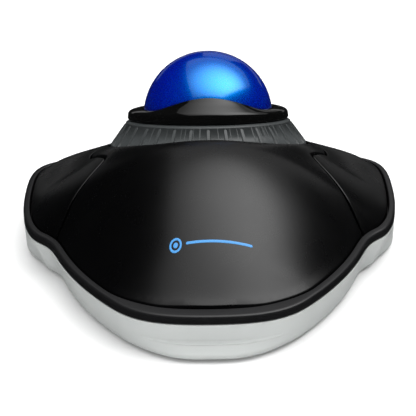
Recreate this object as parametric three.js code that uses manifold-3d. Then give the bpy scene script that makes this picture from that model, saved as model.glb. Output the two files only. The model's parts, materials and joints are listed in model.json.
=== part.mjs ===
// A desktop trackball: a ball in a cup, a scroll ring around it, a palm rest in front and two large
// buttons at the sides. Millimetres, +Z up. The user sits on the -Y side, X runs to the user's right,
// and the origin is on the desk under the middle of the case.

import * as THREE from 'three';
import { mergeVertices } from 'three/addons/utils/BufferGeometryUtils.js';
import Module from 'manifold-3d';

const wasm = await Module();
wasm.setup();

// ---------------------------------------------------------------- driving dimensions

const GAP = 0.3; // between pieces that touch
const SEAM = 0.7; // visible seam between covers

const BALL_RADIUS = 20;
const BALL_CENTRE = new THREE.Vector3(0, 21.3, 38);
const RING_TILT = THREE.MathUtils.degToRad(18); // the ring leans back, away from the user

const CASE_BOTTOM = 1; // underside of the case, above the desk
const CASE_TOP = 12; // parting line between the lower case and the top frame
const CASE_WALL = 1.5;
const CASE_RIM_WALL = 1; // the wall thins towards the parting line
const CASE_DRAFT = 3; // how far the case wall leans in towards its bottom edge, at the nose and the back
const FLOOR_TOP = 3.2;
const LIP_TOP = 5.4; // top of the flared lip along the front of the case
const LIP_FLARE = 3.03;
const LIP_HALF_WIDTH = 25;

const FLANGE_TOP = 11.4; // ledge inside the top frame that carries the covers
const RIM_TOP = 14.8; // top of the bumper rim that frames the covers
const COVER_WALL = 2;
const COVER_FRONT = -59.6; // the covers' foremost and rearmost points
const COVER_REAR = 63.1;
const CREST_HEIGHT = 29.7; // of the palm hump above the rim
const CREST_Y = -10;
const WING_HEIGHT = 3.7; // of the buttons' outer parts above the rim
const COLLAR_HEIGHT = 28.1; // of the collar above the rim, at the crest
const COLLAR_SLOPE = 0.36; // how fast the collar falls towards the back
const COLLAR_SPREAD = 38; // distance at which the collar has fallen half way to the wings
const COLLAR_MIDDLE_Y = 14;
const COVER_COLUMNS = 20;
const COLUMN_SPREAD = 1.4; // 0 for even columns, 1.5 for columns crowded at the edges

const WELL_RADIUS = 31.2; // opening in the palm cover that the ring turns in
const COLLAR_RADIUS = 36.6; // outer edge of the palm cover's collar around the ring
const COLLAR_CENTRE_Y = 18.5;
const STRIP_HALF_WIDTH = 3; // the bar of the palm cover between the two buttons, at the back

const BOARD_BOTTOM = 7;
const BOARD_TOP = 8.6;
const SWITCH = { x: 40, y: 29, length: 12.8, width: 5.8, height: 6.5 };
const PLUNGER_RADIUS = 1.2;

const SCREW = { head: 2.4, headHeight: 1.5, shank: 1.1 };
const BOSS_RADIUS = 3.2;
const OUTLINE_STEPS = 76;
const ROUND_STEPS = 48;
const SIMPLIFY = 0.03; // how far a surface may move when needless triangles are merged

// ---------------------------------------------------------------- materials

const plastic = (color, roughness) => new THREE.MeshStandardMaterial({ color, roughness, metalness: 0 });
const metal = (color, roughness) => new THREE.MeshStandardMaterial({ color, roughness, metalness: 1 });
const MATERIALS = {
  cover: plastic(0x17181a, 0.45),
  rim: plastic(0x1d1e20, 0.35),
  glossBlack: plastic(0x0b0b0c, 0.08),
  caseGrey: plastic(0xc9cccb, 0.4),
  ball: new THREE.MeshStandardMaterial({ color: 0x0a35d8, roughness: 0.12, metalness: 0.35 }),
  grip: plastic(0x46484b, 0.75),
  innerBlack: plastic(0x1b1b1d, 0.6),
  bearing: plastic(0xe9e4dc, 0.15),
  steel: metal(0xb8babd, 0.3),
  board: plastic(0x1d6a3a, 0.5),
  chip: plastic(0x16171a, 0.5),
  lens: new THREE.MeshStandardMaterial({ color: 0xdfe6ea, roughness: 0.05, transparent: true, opacity: 0.4 }),
  socket: plastic(0xe8e6dc, 0.5),
  switchBody: plastic(0x26272b, 0.5),
  plunger: plastic(0xd94b3d, 0.5),
  foot: plastic(0x3a3b3e, 0.9),
};

// ---------------------------------------------------------------- solids

// A closed three.js geometry as a manifold-3d solid.
function solid(geometry) {
  const bare = geometry.clone();
  for (const name of Object.keys(bare.attributes)) {
    if (name !== 'position') bare.deleteAttribute(name);
  }
  const merged = mergeVertices(bare, 1e-4);
  return new wasm.Manifold(
    new wasm.Mesh({
      numProp: 3,
      vertProperties: merged.attributes.position.array,
      triVerts: new Uint32Array(merged.index.array),
    }),
  );
}

// A solid as a named mesh.
function piece(name, shape, material) {
  const { numProp, numVert, vertProperties, triVerts } = shape.simplify(SIMPLIFY).getMesh();
  const positions = new Float32Array(numVert * 3);
  for (let i = 0; i < numVert; i += 1) {
    positions.set(vertProperties.subarray(i * numProp, i * numProp + 3), i * 3);
  }
  const geometry = new THREE.BufferGeometry();
  geometry.setAttribute('position', new THREE.BufferAttribute(positions, 3));
  geometry.setIndex(new THREE.BufferAttribute(triVerts, 1));
  geometry.computeVertexNormals();
  const mesh = new THREE.Mesh(geometry, material);
  mesh.name = name;
  return mesh;
}

function cylinder(radius, bottom, top, x, y, steps = 14) {
  const geometry = new THREE.CylinderGeometry(radius, radius, top - bottom, steps);
  geometry.rotateX(Math.PI / 2);
  geometry.translate(x, y, (top + bottom) / 2);
  return solid(geometry);
}

function box(width, depth, bottom, top, x, y, turn = 0) {
  const geometry = new THREE.BoxGeometry(width, depth, top - bottom);
  geometry.rotateZ(turn);
  geometry.translate(x, y, (top + bottom) / 2);
  return solid(geometry);
}

// A prism over a closed outline of plan points.
function prism(points, bottom, top) {
  const shape = new THREE.Shape(points);
  const geometry = new THREE.ExtrudeGeometry(shape, { depth: top - bottom, bevelEnabled: false });
  geometry.translate(0, 0, bottom);
  return solid(geometry);
}

// A solid of revolution whose profile is [radius, height] points, about +Z.
function lathe(profile, steps = ROUND_STEPS) {
  const points = profile.map(([r, h]) => new THREE.Vector2(r, h));
  if (profile[0][0] > 0) points.push(points[0].clone());
  return solid(new THREE.LatheGeometry(points, steps).rotateX(Math.PI / 2));
}

// A closed tube of sections: sectionAt(i) gives one section's points, and each joins the next, round to the
// first.
function sweptRing(sectionAt, steps) {
  const sections = Array.from({ length: steps }, (_, i) => sectionAt(i));
  const corners = sections[0].length;
  const index = [];
  for (let i = 0; i < steps; i += 1) {
    for (let j = 0; j < corners; j += 1) {
      const next = ((i + 1) % steps) * corners;
      const a = i * corners + j;
      const b = i * corners + ((j + 1) % corners);
      const c = next + ((j + 1) % corners);
      const d = next + j;
      index.push(a, b, c, a, c, d);
    }
  }
  return outward(new THREE.BufferGeometry().setFromPoints(sections.flat()).setIndex(index));
}

// A closed stack of outlines with the same number of points, capped at both ends.
function loft(outlines) {
  const count = outlines[0].length;
  const index = [];
  for (let level = 0; level + 1 < outlines.length; level += 1) {
    for (let i = 0; i < count; i += 1) {
      const a = level * count + i;
      const b = level * count + ((i + 1) % count);
      index.push(a, b, b + count, a, b + count, a + count);
    }
  }
  for (const level of [0, outlines.length - 1]) {
    const flat = outlines[level].map((p) => new THREE.Vector2(p.x, p.y));
    for (const [a, b, c] of THREE.ShapeUtils.triangulateShape(flat, [])) {
      const corners = [a, b, c].map((i) => level * count + i);
      if (level === 0) corners.reverse();
      index.push(...corners);
    }
  }
  return outward(new THREE.BufferGeometry().setFromPoints(outlines.flat()).setIndex(index));
}

// The solid of a closed surface, turned right side out if need be.
function outward(geometry) {
  const made = solid(geometry);
  if (made.volume() > 0) return made;
  const { array } = geometry.index;
  for (let i = 0; i < array.length; i += 3) [array[i + 1], array[i + 2]] = [array[i + 2], array[i + 1]];
  return solid(geometry);
}

const ringFrame = new THREE.Matrix4()
  .makeTranslation(BALL_CENTRE)
  .multiply(new THREE.Matrix4().makeRotationX(-RING_TILT));

// Moves a solid from the ring's own frame, centred on the ball with +Z along the ring's axis, to the part's.
const onRingAxis = (shape) => shape.transform(ringFrame.elements);

const both = [['left', -1], ['right', 1]];

// ---------------------------------------------------------------- plan outline

// The parting line seen from above: a blunt nose, a pinch on each side, the wings, a slighter pinch
// and a round back.
function halfOutline() {
  const path = new THREE.CurvePath();
  const v = (x, y) => new THREE.Vector2(x, y);
  path.add(new THREE.CubicBezierCurve(v(0, -64.4), v(13, -64.4), v(20.5, -61.6), v(27.2, -54)));
  path.add(new THREE.CubicBezierCurve(v(27.2, -54), v(36, -44.2), v(41, -33.5), v(45, -24.2)));
  path.add(new THREE.CubicBezierCurve(v(45, -24.2), v(46.8, -19.4), v(47.5, -17.4), v(51.2, -13.9)));
  path.add(new THREE.CubicBezierCurve(v(51.2, -13.9), v(55.9, -9.5), v(57.8, 2), v(57.8, 16)));
  path.add(new THREE.CubicBezierCurve(v(57.8, 16), v(57.8, 28), v(57.2, 35), v(51.5, 38.6)));
  path.add(new THREE.CubicBezierCurve(v(51.5, 38.6), v(48, 41), v(44.5, 41.4), v(41, 44.8)));
  path.add(new THREE.CubicBezierCurve(v(41, 44.8), v(32, 54), v(18, 65.5), v(0, 65.5)));
  return path;
}

const outlinePoints = (() => {
  const half = OUTLINE_STEPS / 2;
  const right = halfOutline().getSpacedPoints(half);
  const left = right.slice(1, half).reverse().map((p) => new THREE.Vector2(-p.x, p.y));
  return [...right, ...left];
})();

const outlineNormals = outlinePoints.map((_, i) => {
  const before = outlinePoints[(i + OUTLINE_STEPS - 1) % OUTLINE_STEPS];
  const after = outlinePoints[(i + 1) % OUTLINE_STEPS];
  return new THREE.Vector2(after.y - before.y, before.x - after.x).normalize();
});

// The outline moved in by a distance, which may depend on the point, at one height.
function inset(distance, height) {
  return outlinePoints.map((p, i) => {
    const d = typeof distance === 'function' ? distance(p) : distance;
    const n = outlineNormals[i];
    return new THREE.Vector3(p.x - n.x * d, p.y - n.y * d, height);
  });
}

const smooth = (x, from, to) => THREE.MathUtils.smoothstep(x, from, to);

// The rim is widest across the nose and narrowest along the flanks.
const rimWidth = (p) => 2.3 + 2 * smooth(-p.y, 50, 62) - 0.4 * smooth(p.y, -14, 4);

// ---------------------------------------------------------------- cover surface

const coverEdge = inset((p) => rimWidth(p) + SEAM * 0.7, RIM_TOP);

// Half the covers' width at y, read off their edge.
function coverHalfWidth(y) {
  for (let i = 0; i < OUTLINE_STEPS / 2; i += 1) {
    const a = coverEdge[i];
    const b = coverEdge[i + 1];
    if (a.y <= y && y <= b.y) return a.x + ((b.x - a.x) * (y - a.y)) / (b.y - a.y || 1);
  }
  return 0;
}

// Height of the middle of the covers above the rim: up the palm hump, then down along the ring's tilt.
function crest(y) {
  const hump = CREST_HEIGHT * Math.sin((Math.PI / 2) * THREE.MathUtils.clamp((y - COVER_FRONT) / 50, 0, 1));
  const past = 6 * Math.log1p(Math.exp((y - CREST_Y) / 6));
  return hump - Math.tan(RING_TILT) * past;
}

// Height of the raised collar round the ring and of the wings beside it, above the rim.
function collar(x, y) {
  const spread = 1 / (1 + (Math.hypot(x, y - COLLAR_MIDDLE_Y) / COLLAR_SPREAD) ** 7);
  return WING_HEIGHT + (COLLAR_HEIGHT - COLLAR_SLOPE * (y - CREST_Y) - WING_HEIGHT) * spread;
}

// The larger of two numbers, with the change from one to the other rounded.
const blendedMax = (a, b) => (a + b + Math.hypot(a - b, 1.2)) / 2;

function coverHeight(x, y) {
  const across = Math.min(Math.abs(x) / Math.max(coverHalfWidth(y), 1), 1);
  const dome = crest(y) * (1 - across ** 2);
  const raised = collar(x, y) * (1 - across ** 12);
  const back = 1 - THREE.MathUtils.clamp((y - 36) / (COVER_REAR - 36), 0, 1) ** 3;
  const joined = blendedMax(dome * (1 - smooth(y, 6, 30)), raised * smooth(y, -36, -12));
  return RIM_TOP + Math.max(joined - 0.6 * across ** 4, 0) * back;
}

// A slab between two heights whose sides follow the covers' edge. Its points are closest together near that
// edge.
function coverSlab(upper, lower) {
  const rows = OUTLINE_STEPS / 2 - 2;
  const geometry = new THREE.BoxGeometry(2, 1, 2, COVER_COLUMNS, rows, 1);
  const at = geometry.attributes.position;
  for (let i = 0; i < at.count; i += 1) {
    const edge = coverEdge[1 + Math.round((at.getY(i) + 0.5) * rows)];
    const x = (edge.x * Math.sin(COLUMN_SPREAD * at.getX(i))) / Math.sin(COLUMN_SPREAD);
    at.setXYZ(i, x, edge.y, at.getZ(i) > 0 ? upper(x, edge.y) : lower(x, edge.y));
  }
  return solid(geometry);
}

// The shell that the palm cover and the buttons are cut from, and the room below the middle of that shell.
const coverShell = () => coverSlab(coverHeight, (x, y) => coverHeight(x, y) - COVER_WALL);
const underCovers = () => coverSlab((x, y) => coverHeight(x, y) - 0.9, () => CASE_TOP - 7);

// ---------------------------------------------------------------- seams in plan

const SEAM_PINCH = new THREE.Vector2(46.2, -17);
const SEAM_BEND = new THREE.Vector2(36.3, -6.8);
const SEAM_CORNER = new THREE.Vector2(30.9, 1.2);
const HORN_TIP_ANGLE = -0.15; // of the collar's horn, from the sideways direction

// The seam between the palm cover and the right button: in from the pinch to the ring, out along the collar's
// horn, round the collar, and back along the rear bar.
function seamLine() {
  const out = SEAM_PINCH.clone().add(SEAM_PINCH.clone().sub(SEAM_BEND).setLength(20));
  const last = Math.acos(STRIP_HALF_WIDTH / COLLAR_RADIUS);
  const round = Array.from({ length: 15 }, (_, i) => {
    const angle = THREE.MathUtils.lerp(HORN_TIP_ANGLE, last, i / 14);
    const x = COLLAR_RADIUS * Math.cos(angle);
    return new THREE.Vector2(x, COLLAR_CENTRE_Y + COLLAR_RADIUS * Math.sin(angle));
  });
  return [out, SEAM_PINCH, SEAM_BEND, SEAM_CORNER, ...round, new THREE.Vector2(STRIP_HALF_WIDTH, 75)];
}

// A line moved sideways: positive distances move it to the right of its direction.
function shifted(line, distance) {
  return line.map((p, i) => {
    const before = line[Math.max(i - 1, 0)];
    const after = line[Math.min(i + 1, line.length - 1)];
    const into = p.clone().sub(before).normalize();
    const away = after.clone().sub(p).normalize();
    if (i === 0) into.copy(away);
    if (i === line.length - 1) away.copy(into);
    const along = into.clone().add(away).normalize();
    const side = new THREE.Vector2(along.y, -along.x);
    const miter = Math.max(side.dot(new THREE.Vector2(into.y, -into.x)), 0.4);
    return p.clone().addScaledVector(side, distance / miter);
  });
}

const mirrored = (points) => points.map((p) => new THREE.Vector2(-p.x, p.y)).reverse();

function palmRegion() {
  const right = shifted(seamLine(), -SEAM / 2);
  const front = [new THREE.Vector2(-70, -80), new THREE.Vector2(70, -80)];
  return prism([...right, ...mirrored(right), ...front], 0, 60);
}

function buttonRegion() {
  const inner = shifted(seamLine(), SEAM / 2);
  return prism([...inner, new THREE.Vector2(80, 75), new THREE.Vector2(80, -40)], 0, 60);
}

const mirrorX = new THREE.Matrix4().makeScale(-1, 1, 1).elements;
const sided = (shape, side) => (side < 0 ? shape.transform(mirrorX) : shape);

// ---------------------------------------------------------------- case, frame and covers

const caseScrewSpots = [[-30, -37], [30, -37], [-33, 42], [33, 42]];
const palmScrewSpots = [[-15, -39], [15, -39]];
const boardScrewSpots = [[-24, 44], [24, 44]];
const legSpots = [[-13, 31], [13, 31], [0, 4]];
const footSpots = [[-15, -51], [15, -51], [-42, 27], [42, 27]];
const hingePost = { x: 41, y: -2.2, top: 18.6, pivot: 20.5, radius: 1.6, length: 12 };
const HINGE_TURN = THREE.MathUtils.degToRad(-61); // of the right hinge's axis, from the sideways direction

// The wall leans in more beside the pinches, and is almost upright along the wings.
function caseDraft({ y }) {
  return CASE_DRAFT + 1.1 * smooth(y, -24, -14) - 3.6 * smooth(y, -9, 4) + 2.5 * smooth(y, 20, 45);
}

function lowerCase() {
  const lip = (p) => (p.y < 0 ? LIP_FLARE * smooth(LIP_HALF_WIDTH - Math.abs(p.x), 0, 20) : 0);
  const lean = (p, height) => (caseDraft(p) * (CASE_TOP - height)) / (CASE_TOP - CASE_BOTTOM);
  const outer = loft([
    inset((p) => lean(p, CASE_BOTTOM) + 0.8 - lip(p) * 1.1, CASE_BOTTOM),
    inset((p) => lean(p, 2) - lip(p) * 1.25, 2),
    inset((p) => lean(p, 4.6) - lip(p) * 0.65, 4.6),
    inset((p) => lean(p, LIP_TOP), LIP_TOP),
    inset(0, CASE_TOP),
  ]);
  const cavity = loft([
    inset((p) => lean(p, FLOOR_TOP) + CASE_WALL + 0.4, FLOOR_TOP),
    inset(CASE_RIM_WALL, CASE_TOP + 0.2),
  ]);
  let made = outer.subtract(cavity);
  for (const [x, y] of caseScrewSpots) {
    made = made.add(cylinder(BOSS_RADIUS, FLOOR_TOP - 0.5, 8, x, y));
  }
  for (const [x, y] of boardScrewSpots) {
    made = made.add(cylinder(2.6, FLOOR_TOP - 0.5, BOARD_BOTTOM - GAP, x, y));
    made = made.subtract(cylinder(SCREW.shank + GAP, CASE_BOTTOM + 1, BOARD_BOTTOM, x, y, 10));
  }
  for (const [x, y] of [...caseScrewSpots, ...legSpots]) {
    made = made.subtract(cylinder(SCREW.head + GAP, 0, 2.8, x, y, 16));
    made = made.subtract(cylinder(SCREW.shank + GAP, 0, 9, x, y, 10));
  }
  for (const [x, y] of footSpots) {
    made = made.subtract(cylinder(5.3, 0, 1.6, x, y, 24));
  }
  for (const [, side] of both) {
    const { length, top, x, y } = hingePost;
    made = made.add(box(length - 2, 3, FLOOR_TOP - 0.5, top, x * side, y, HINGE_TURN * side));
  }
  return made.subtract(glandHole());
}

const GLAND = { y: 60, z: 6.6, radius: 2.5, bore: 1.7, flange: 3.1 };

function alongY(shape, y) {
  const turn = new THREE.Matrix4().makeRotationX(-Math.PI / 2).setPosition(0, y, GLAND.z);
  return shape.transform(turn.elements);
}

const glandHole = () => alongY(cylinder(GLAND.radius + GAP, 0, 9, 0, 0, 16), 58);

// The rubber grommet that the cable leaves the case through.
function cableGland() {
  const { y, radius, bore, flange } = GLAND;
  const flangeSide = [[bore, 0], [flange, 0], [flange, 1], [radius, 1.3]];
  const bossSide = [[radius, 4.9], [2.2, 5.3], [bore, 5.3]];
  return alongY(lathe([...flangeSide, ...bossSide], 16), y);
}

const switchPocket = (side) =>
  box(SWITCH.width + 1.4, SWITCH.length + 1.4, 0, 16, SWITCH.x * side, SWITCH.y);

function topFrame() {
  const flange = 3.4;
  const flangeTop = FLANGE_TOP;
  const flangeBottom = FLANGE_TOP - 1.4;
  const section = (i) => {
    const p = outlinePoints[i];
    const n = outlineNormals[i];
    const w = rimWidth(p);
    return [
      [0, CASE_TOP + GAP], [0, 13.3], [0.2 * w, 14.3], [0.5 * w, RIM_TOP], [w - 0.35, RIM_TOP],
      [w, RIM_TOP - 0.4], [w, flangeTop], [w + flange, flangeTop], [w + flange, flangeBottom],
      [2.3, flangeBottom], [1.35, CASE_TOP + GAP],
    ].map(([d, z]) => new THREE.Vector3(p.x - n.x * Math.min(d, w + flange), p.y - n.y * d, z));
  };
  let made = sweptRing(section, OUTLINE_STEPS);
  const inside = loft([inset(6.2, flangeBottom), inset(6.2, flangeTop)]);
  made = made.add(inside.intersect(box(120, 40, 0, 20, 0, -48)));
  const corner = inside.intersect(box(120, 18, 0, 20, 0, 46));
  made = made.add(corner.subtract(box(58, 40, 0, 20, 0, 40)));
  for (const [x, y] of caseScrewSpots) {
    made = made.add(cylinder(BOSS_RADIUS, 8 + GAP, flangeTop, x, y));
    made = made.subtract(cylinder(SCREW.shank + GAP, 8, flangeTop + 1, x, y, 10));
  }
  for (const [x, y] of palmScrewSpots) {
    made = made.subtract(cylinder(SCREW.shank + GAP, 5, flangeTop + 1, x, y, 10));
  }
  for (const [, side] of both) {
    made = made.subtract(switchPocket(side));
  }
  return made;
}

function palmCover() {
  let made = coverShell().intersect(palmRegion());
  made = made.subtract(onRingAxis(lathe([[0, -20], [WELL_RADIUS, -20], [WELL_RADIUS, 20], [0, 20]])));
  const ribOuter = WELL_RADIUS + 1.8;
  const rib = lathe([[WELL_RADIUS, -12.6], [ribOuter, -12.6], [ribOuter, -3], [WELL_RADIUS, -3]]);
  made = made.add(onRingAxis(rib).intersect(underCovers()).intersect(palmRegion()));
  for (const [x, y] of palmScrewSpots) {
    made = made.add(cylinder(2.9, FLANGE_TOP + GAP, 40, x, y).intersect(underCovers()));
    made = made.subtract(cylinder(SCREW.shank + GAP, 10, 19, x, y, 10));
  }
  return made;
}

function rightButton() {
  const { x, y, pivot, radius, length } = hingePost;
  let made = coverShell().intersect(buttonRegion());
  const rod = new THREE.CylinderGeometry(radius, radius, length, 16);
  rod.rotateZ(Math.PI / 2);
  rod.rotateZ(HINGE_TURN);
  rod.translate(x, y, pivot);
  const web = box(length, 1.6, pivot, 34, x, y, HINGE_TURN);
  const pusher = box(3, 3, BOARD_TOP + SWITCH.height + 0.9, 30, SWITCH.x, SWITCH.y);
  const below = underCovers().intersect(buttonRegion());
  made = made.add(solid(rod).intersect(below));
  made = made.add(web.intersect(below));
  return made.add(pusher.intersect(below));
}

// ---------------------------------------------------------------- ball, cup, bezel and ring, in its frame

const RING = {
  inner: 23.4,
  top: 25.4, // radius of the grip's upper edge
  bottom: 30.4, // radius of its lower edge
  topHeight: -1.5, // heights above the middle of the ball
  bottomHeight: -8.4,
  foot: -9.6,
  wall: 0.9,
};
const NECK_RADIUS = 23;
const BEZEL_BOTTOM = -0.7;
const CUP_INNER = 20.9;
const CUP_STEPS = 36;
const RIBS = 32;
const RIB_HALF_WIDTH = 0.9;
const RIB_HEIGHT = 0.6;
const TEETH = 24;

const atAngle = (angle, r, h) => new THREE.Vector3(r * Math.cos(angle), r * Math.sin(angle), h);

// The glossy trim round the ball, with a lid-like rise in front and behind.
function ballBezel() {
  const steps = 56;
  return onRingAxis(
    sweptRing((i) => {
      const angle = (i / steps) * 2 * Math.PI;
      const aside = Math.asin(Math.abs(Math.cos(angle)));
      const lid = Math.cos(Math.min(1.5 * aside, Math.PI / 2)) ** 2;
      return [
        [20.6, BEZEL_BOTTOM], [20.45, 0.6], [20.5, 1.9 + 4.6 * lid], [20.9, 2.3 + 4.7 * lid],
        [21.5 - 0.2 * lid, 2.4 + 4.6 * lid], [23.5 - 1.1 * lid, 2.2 + 2.9 * lid],
        [24.6 - 0.5 * lid, 1.4 + 1.4 * lid], [25, 0.3], [24.9, BEZEL_BOTTOM],
      ].map(([r, h]) => atAngle(angle, r, h));
    }, steps),
  );
}

// The rubber grip of the scroll ring: a cone with a low rib between each two pads.
function scrollRingGrip() {
  const stations = [-RIB_HALF_WIDTH, 0, RIB_HALF_WIDTH];
  const pitch = (2 * Math.PI) / RIBS;
  const { top, bottom, topHeight, bottomHeight, foot, wall } = RING;
  return onRingAxis(
    sweptRing((i) => {
      const place = i % stations.length;
      const angle = Math.floor(i / stations.length) * pitch + stations[place] / bottom;
      const cut = stations[place] === 0 ? 0 : RIB_HEIGHT;
      return [
        [top - wall, topHeight + 0.5], [top, topHeight], [top + 0.9, topHeight - 1.2],
        [top + 1.3 - cut, topHeight - 1.8], [bottom - 0.3 - cut, bottomHeight + 0.6], [bottom, bottomHeight],
        [bottom, foot], [bottom - 2.4, foot], [top - wall, -3],
      ].map(([r, h]) => atAngle(angle, r, h));
    }, RIBS * stations.length),
  );
}

// The rigid ring under the grip. Its toothed skirt breaks the light beam of the scroll sensor.
function scrollRingCore() {
  const { inner, top, bottom, foot, wall } = RING;
  const clear = 0.5;
  const body = lathe([
    [inner, -10], [bottom - 2.4, -10], [bottom - 2.4 - clear, foot], [top - wall - clear, -3],
    [top - wall - clear, -1.2], [inner, -1.1],
  ]);
  const skirt = lathe([[26, -13.6], [27.2, -13.6], [27.2, -9.5], [26, -9.5]]);
  const slots = Array.from({ length: TEETH }, (_, i) =>
    solid(new THREE.BoxGeometry(3, 2.2, 3.2).translate(26.6, 0, -12.4).rotateZ((i / TEETH) * 2 * Math.PI)),
  );
  return onRingAxis(body.add(skirt).subtract(wasm.Manifold.union(slots)));
}

const bearingAngles = [90, 210, 330].map(THREE.MathUtils.degToRad);
const BEARING = { radius: 1.5, drop: THREE.MathUtils.degToRad(50) };

// Direction from the ball's centre to a support bearing, in the part's frame.
function bearingDirection(angle) {
  const across = Math.cos(BEARING.drop);
  return new THREE.Vector3(across * Math.cos(angle), across * Math.sin(angle), -Math.sin(BEARING.drop));
}

function alongDirection(geometry, direction, distance) {
  geometry.rotateX(Math.PI / 2);
  geometry.applyQuaternion(new THREE.Quaternion().setFromUnitVectors(new THREE.Vector3(0, 0, 1), direction));
  geometry.translate(...BALL_CENTRE.clone().addScaledVector(direction, distance).toArray());
  return solid(geometry);
}

function bearing(angle) {
  const at = BALL_CENTRE.clone().addScaledVector(bearingDirection(angle), BALL_RADIUS + BEARING.radius + GAP);
  return solid(new THREE.SphereGeometry(BEARING.radius, 12, 8).translate(...at.toArray()));
}

// Points on a circle about the ball's centre, from one angle below the ring's plane to another.
function arc(radius, from, to, count) {
  return Array.from({ length: count + 1 }, (_, i) => {
    const angle = THREE.MathUtils.degToRad(from + ((to - from) * i) / count);
    return [radius * Math.cos(angle), -radius * Math.sin(angle)];
  });
}

// The cup that holds the ball: a bowl with a neck that the ring turns on, a seat under the ring, and three
// legs.
function ballCup() {
  let made = onRingAxis(
    lathe([
      [0, -22.9], ...arc(22.9, 75, 34, 4), [NECK_RADIUS, -12.6], [25.5, -12.6], [25.5, -10.4],
      [NECK_RADIUS, -10.4],
      [NECK_RADIUS, -1], [0, -1],
    ], CUP_STEPS),
  );
  for (const angle of bearingAngles) {
    made = made.add(alongDirection(new THREE.CylinderGeometry(2.7, 3, 3.2, 12), bearingDirection(angle), 23));
  }
  for (const [x, y] of legSpots) {
    made = made.add(cylinder(3, FLOOR_TOP + GAP, 26, x, y, 16));
  }
  const hollow = [[0, -CUP_INNER], ...arc(CUP_INNER, 80, 0, 8), [CUP_INNER, 30], [0, 30]];
  made = made.subtract(onRingAxis(lathe(hollow, CUP_STEPS)));
  for (const angle of bearingAngles) {
    const socket = new THREE.CylinderGeometry(BEARING.radius + GAP, BEARING.radius + GAP, 4, 12);
    made = made.subtract(alongDirection(socket, bearingDirection(angle), 21.6));
  }
  for (const [x, y] of legSpots) {
    made = made.subtract(cylinder(SCREW.shank + GAP, 0, 10, x, y, 10));
  }
  return made.subtract(cylinder(6, 0, 20, BALL_CENTRE.x, BALL_CENTRE.y, 24));
}

// ---------------------------------------------------------------- electronics and hardware

function mainBoard() {
  const half = [[0, -14], [15, -14], [30, 2], [34, 18], [46, 20], [46, 36], [29, 37], [29, 51], [0, 54]];
  const points = half.map(([x, y]) => new THREE.Vector2(x, y));
  let made = prism([...points, ...mirrored(points.slice(1, -1))], BOARD_BOTTOM, BOARD_TOP);
  for (const [x, y] of legSpots) made = made.subtract(cylinder(3.6, 0, 20, x, y));
  for (const [x, y] of boardScrewSpots) made = made.subtract(cylinder(SCREW.shank + GAP, 0, 20, x, y, 10));
  return made;
}

function switchBody(side) {
  const { x, y, length, width, height } = SWITCH;
  const bottom = BOARD_TOP + GAP;
  const top = BOARD_TOP + height;
  let made = box(width, length, bottom, top, x * side, y);
  made = made.subtract(box(width + 1, 0.5, bottom + 3.2, bottom + 3.5, x * side, y - length / 2));
  return made.subtract(cylinder(PLUNGER_RADIUS + GAP, top - 2, top + 1, x * side, y, 16));
}

function switchPlunger(side) {
  const top = BOARD_TOP + SWITCH.height;
  return cylinder(PLUNGER_RADIUS, top - 0.8, top + 0.6, SWITCH.x * side, SWITCH.y, 16);
}

// The light barrier that the ring's teeth pass through. It stands on the board behind the ball.
function scrollSensor() {
  const stand = box(7, 10, BOARD_TOP + GAP, 22, 10, 42);
  const reach = [[22, -40], [RING.bottom, -40], [RING.bottom, -10.4], [27, -10.4], [27, -13], [22, -13]];
  const underRing = onRingAxis(lathe(reach));
  const slot = onRingAxis(lathe([[25.4, -14.4], [27.8, -14.4], [27.8, -5], [25.4, -5]]));
  return stand.intersect(underRing).subtract(slot);
}

function opticalSensor() {
  const { x, y } = BALL_CENTRE;
  const body = box(9.6, 9.6, BOARD_TOP + GAP, 11, x, y);
  return body.subtract(cylinder(1.4, 10.2, 12, x, y, 10));
}

function sensorLens() {
  const { x, y } = BALL_CENTRE;
  const profile = [[0, 11.3], [5.4, 11.3], [5.4, 13.2], [2.6, 13.2], [2.2, 15.4], [0, 16.2]];
  return lathe(profile, 24).translate([x, y, 0]);
}

function screw(x, y, seat, tip) {
  const { head, headHeight, shank } = SCREW;
  const profile = [
    [0, seat - headHeight], [head * 0.8, seat - headHeight], [head, seat - headHeight * 0.6], [head, seat],
    [shank, seat], [shank, tip - 0.6], [0, tip],
  ];
  const slot = new THREE.BoxGeometry(0.6, 3, 1.4).translate(0, 0, seat - headHeight);
  return lathe(profile, 10).subtract(solid(slot)).translate([x, y, 0]);
}

// A screw that goes in from above.
function screwDown(x, y, seat, tip) {
  return screw(x, -y, -seat, -tip).transform(new THREE.Matrix4().makeRotationX(Math.PI).elements);
}

const foot = (x, y) => lathe([[0, 0], [4.6, 0], [5, 0.3], [5, 1.3], [0, 1.3]], 20).translate([x, y, 0]);

// ---------------------------------------------------------------- assembly

const trackball = new THREE.Group();
const add = (name, shape, material) => trackball.add(piece(name, shape, material));

add('lower_case', lowerCase(), MATERIALS.caseGrey);
add('top_frame', topFrame(), MATERIALS.rim);
add('palm_cover', palmCover(), MATERIALS.cover);
const button = rightButton();
for (const [name, side] of both) {
  add(`${name}_button`, sided(button, side), MATERIALS.cover);
  add(`${name}_switch`, switchBody(side), MATERIALS.switchBody);
  add(`${name}_switch_plunger`, switchPlunger(side), MATERIALS.plunger);
}

add('ball_bezel', ballBezel(), MATERIALS.glossBlack);
add('scroll_ring_grip', scrollRingGrip(), MATERIALS.grip);
add('scroll_ring_core', scrollRingCore(), MATERIALS.innerBlack);
const sphere = new THREE.SphereGeometry(BALL_RADIUS, 36, 20).rotateX(Math.PI / 2);
const ball = new THREE.Mesh(sphere, MATERIALS.ball);
ball.name = 'ball';
ball.position.copy(BALL_CENTRE);
trackball.add(ball);
add('ball_cup', ballCup(), MATERIALS.innerBlack);
bearingAngles.forEach((angle, i) => add(`support_bearing_${i + 1}`, bearing(angle), MATERIALS.bearing));

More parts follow.
